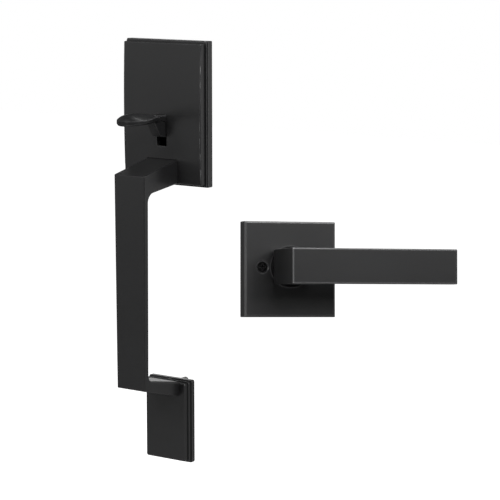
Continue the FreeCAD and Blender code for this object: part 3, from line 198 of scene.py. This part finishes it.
def fine_grain_group():
    """Fine grain of a coating or a machined skin: a roughness, a height and a colour factor."""
    group, inputs, outputs = new_group(
        "fine_grain",
        {"Grain size": 900.0, "Cloud size": 22.0, "Roughness": 0.4, "Spread": 0.05,
         "Tone spread": 0.1},
        ("Roughness", "Height", "Tone"),
    )
    place = add(group, "ShaderNodeTexCoord")
    grain = add(group, "ShaderNodeTexNoise", {"Detail": 3})
    cloud = add(group, "ShaderNodeTexNoise", {"Detail": 4})
    offset = add(group, "ShaderNodeMath", {1: 0.5}, operation="SUBTRACT")
    spread = add(group, "ShaderNodeMath", operation="MULTIPLY_ADD")
    tone = add(group, "ShaderNodeMath", {2: 1.0}, operation="MULTIPLY_ADD")
    join(
        group,
        (place, "Object", grain, "Vector"),
        (place, "Object", cloud, "Vector"),
        (inputs, "Grain size", grain, "Scale"),
        (inputs, "Cloud size", cloud, "Scale"),
        (cloud, "Fac", offset, 0),
        (offset, 0, spread, 0),
        (inputs, "Spread", spread, 1),
        (inputs, "Roughness", spread, 2),
        (offset, 0, tone, 0),
        (inputs, "Tone spread", tone, 1),
        (spread, 0, outputs, "Roughness"),
        (grain, "Fac", outputs, "Height"),
        (tone, 0, outputs, "Tone"),
    )
    return group


def painted_edge_highlight_group():
    """Painted highlight along outward edges that face up and to the front: full strength on them,
    0 a short way in.
    """
    group, inputs, outputs = new_group(
        "painted_edge_highlight",
        {"Reach": EDGE_REACH, "Strength": 1.0, "Facing": EDGE_FACING},
        ("Highlight",),
    )
    near = add(group, "ShaderNodeAmbientOcclusion", inside=True, only_local=True,
               samples=EDGE_SAMPLES)
    sharp = add(group, "ShaderNodeMapRange", {"From Min": EDGE_FLAT, "From Max": EDGE_SHARP})
    scale = add(group, "ShaderNodeMath", operation="MULTIPLY")
    rounded = add(group, "ShaderNodeBevel", samples=EDGE_SAMPLES)
    local = add(group, "ShaderNodeVectorTransform", vector_type="NORMAL", convert_from="WORLD",
                convert_to="OBJECT")
    toward = add(group, "ShaderNodeVectorMath", operation="DOT_PRODUCT")
    turned = add(group, "ShaderNodeMapRange", {"From Min": EDGE_AWAY, "From Max": EDGE_TURNED})
    both = add(group, "ShaderNodeMath", operation="MULTIPLY")
    join(
        group,
        (inputs, "Reach", near, "Distance"),
        (near, "AO", sharp, "Value"),
        (sharp, "Result", scale, 0),
        (inputs, "Strength", scale, 1),
        (inputs, "Reach", rounded, "Radius"),
        (rounded, "Normal", local, "Vector"),
        (local, "Vector", toward, 0),
        (inputs, "Facing", toward, 1),
        (toward, "Value", turned, "Value"),
        (scale, 0, both, 0),
        (turned, "Result", both, 1),
        (both, 0, outputs, "Highlight"),
    )
    return group


GRAIN = fine_grain_group()
EDGE_HIGHLIGHT = painted_edge_highlight_group()


def new_finish(name, values):
    """A new material with these values on its shader, its nodes and that shader."""
    material = bpy.data.materials.new(name)
    material.use_nodes = True
    tree = material.node_tree
    shader = tree.nodes["Principled BSDF"]
    fill(shader, values)
    return material, tree, shader


def coating(name, colour, roughness, metallic=0.0, specular=0.5, grain=900.0, cloud=22.0,
            spread=0.05, tone=0.15, bump=0.08, edge_highlight=0.0, highlight_colour=PALE_EDGE_HIGHLIGHT, reach=EDGE_REACH):
    """A finish whose colour, gloss and skin vary finely, and whose edges may carry a painted
    highlight.
    """
    material, tree, shader = new_finish(
        name, {"Metallic": metallic, "Specular IOR Level": specular})
    skin = add(tree, "ShaderNodeGroup",
               {"Grain size": grain, "Cloud size": cloud, "Roughness": roughness,
                "Spread": spread, "Tone spread": tone}, node_tree=GRAIN)
    shade = add(tree, "ShaderNodeMix", {"Factor": 1.0, "A": colour}, data_type="RGBA",
                blend_type="MULTIPLY")
    relief = add(tree, "ShaderNodeBump", {"Strength": bump, "Distance": SKIN_DEPTH})
    join(
        tree,
        (skin, "Tone", shade, "B"),
        (skin, "Roughness", shader, "Roughness"),
        (skin, "Height", relief, "Height"),
        (relief, "Normal", shader, "Normal"),
    )
    if not edge_highlight:
        join(tree, (shade, "Result", shader, "Base Color"))
        return material
    # Painted highlight: the base colour is mixed toward the highlight colour on edges that face
    # up and to the front.
    highlight_node = add(tree, "ShaderNodeGroup",
                {"Reach": reach, "Strength": edge_highlight, "Facing": EDGE_FACING}, node_tree=EDGE_HIGHLIGHT)
    highlight_mix = add(tree, "ShaderNodeMix", {"B": highlight_colour}, data_type="RGBA")
    join(
        tree,
        (highlight_node, "Highlight", highlight_mix, "Factor"),
        (shade, "Result", highlight_mix, "A"),
        (highlight_mix, "Result", shader, "Base Color"),
    )
    return material


def dress():
    """Gives every piece its finish."""
    for name, colour, pieces, settings in FINISHES:
        material = coating(name, colour, **settings)
        for piece in pieces:
            mesh = nodes[piece].data
            mesh.materials.clear()
            mesh.materials.append(material)


def thumb_neck():
    """The block that fills the slot's top where the thumb piece's neck goes through."""
    bpy.ops.mesh.primitive_cube_add(size=1.0)
    block = bpy.context.object
    block.name = "thumb_neck"
    front, rear = NECK_REACH
    width = NECK_HALF * 2
    for vertex in block.data.vertices:
        forward = vertex.co.y < 0
        low, high = NECK_FRONT if forward else NECK_REAR
        vertex.co = (vertex.co.x * width, -front if forward else -rear,
                     high if vertex.co.z > 0 else low)
    soften = block.modifiers.new("soft_edges", "BEVEL")
    soften.width = NECK_ROUND
    soften.segments = NECK_STEPS
    soften.limit_method = "ANGLE"
    bpy.ops.object.modifier_apply(modifier=soften.name)
    for face in block.data.polygons:
        face.use_smooth = True
    block.data.materials.append(bpy.data.materials["thumb_black"])
    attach(block, "thumb")


def place_object(name, data, place):
    """A new camera or lamp at this place."""
    thing = bpy.data.objects.new(name, data)
    bpy.context.scene.collection.objects.link(thing)
    thing.location = place
    return thing


def camera():
    """The camera, aimed as the photograph was."""
    data = bpy.data.cameras.new("photo_camera")
    data.lens = CAMERA_LENS
    data.sensor_width = CAMERA_SENSOR
    data.clip_start = CAMERA_NEAREST
    data.clip_end = CAMERA_FARTHEST
    eye = place_object("photo_camera", data, CAMERA_PLACE)
    eye.rotation_euler = (math.radians(90.0 - CAMERA_ELEVATION), 0.0,
                          math.radians(CAMERA_AZIMUTH))
    bpy.context.scene.camera = eye


def white_floor():
    """A pale matt finish that the camera sees lifted to white, and that still takes shadows."""
    material, tree, shader = new_finish(
        "studio_floor",
        {"Base Color": FLOOR_COLOUR, "Roughness": FLOOR_ROUGHNESS, "Specular IOR Level": 0.0,
         "Emission Color": WHITE})
    place = add(tree, "ShaderNodeTexCoord")
    reach = add(tree, "ShaderNodeVectorMath", operation="LENGTH")
    fade = add(tree, "ShaderNodeMapRange",
               {"From Min": FLOOR_NEAR, "From Max": FLOOR_FAR, "To Min": FLOOR_LIFT,
                "To Max": 1.0})
    path = add(tree, "ShaderNodeLightPath")
    lift = add(tree, "ShaderNodeMath", operation="MULTIPLY")
    join(
        tree,
        (place, "Object", reach, 0),
        (reach, "Value", fade, "Value"),
        (path, "Is Camera Ray", lift, 0),
        (fade, "Result", lift, 1),
        (lift, 0, shader, "Emission Strength"),
    )
    return material


def floor():
    """A wide pale floor well below the set."""
    bpy.ops.mesh.primitive_plane_add(size=FLOOR_SIZE, location=(0.0, 0.0, FLOOR_HEIGHT))
    plane = bpy.context.object
    plane.name = "studio_floor"
    plane.data.materials.append(white_floor())


def world():
    """White where the camera sees it, and a faint even light on everything else."""
    scene_world = bpy.data.worlds.new("studio")
    bpy.context.scene.world = scene_world
    scene_world.use_nodes = True
    tree = scene_world.node_tree
    tree.nodes.clear()
    out = add(tree, "ShaderNodeOutputWorld")
    seen = add(tree, "ShaderNodeBackground", {"Color": WHITE, "Strength": 1.0})
    lit = add(tree, "ShaderNodeBackground", {"Color": WHITE, "Strength": WORLD_LIGHT})
    choose = add(tree, "ShaderNodeMixShader")
    path = add(tree, "ShaderNodeLightPath")
    join(
        tree,
        (path, "Is Camera Ray", choose, "Fac"),
        (lit, 0, choose, 1),
        (seen, 0, choose, 2),
        (choose, 0, out, "Surface"),
    )


def soft_panel(name, place, width, height, power):
    """A soft rectangular lamp that faces the set."""
    data = bpy.data.lights.new(name, "AREA")
    data.shape = "RECTANGLE"
    data.size = width
    data.size_y = height
    data.energy = power
    lamp = place_object(name, data, place)
    aim = Vector(PANEL_TARGET) - Vector(place)
    lamp.rotation_euler = aim.to_track_quat("-Z", "Y").to_euler()


dress()
thumb_neck()
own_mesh(nodes["thumb_spring"])
camera()
floor()
world()
for panel in PANELS:
    soft_panel(*panel)

bpy.context.scene.view_settings.view_transform = "Standard"
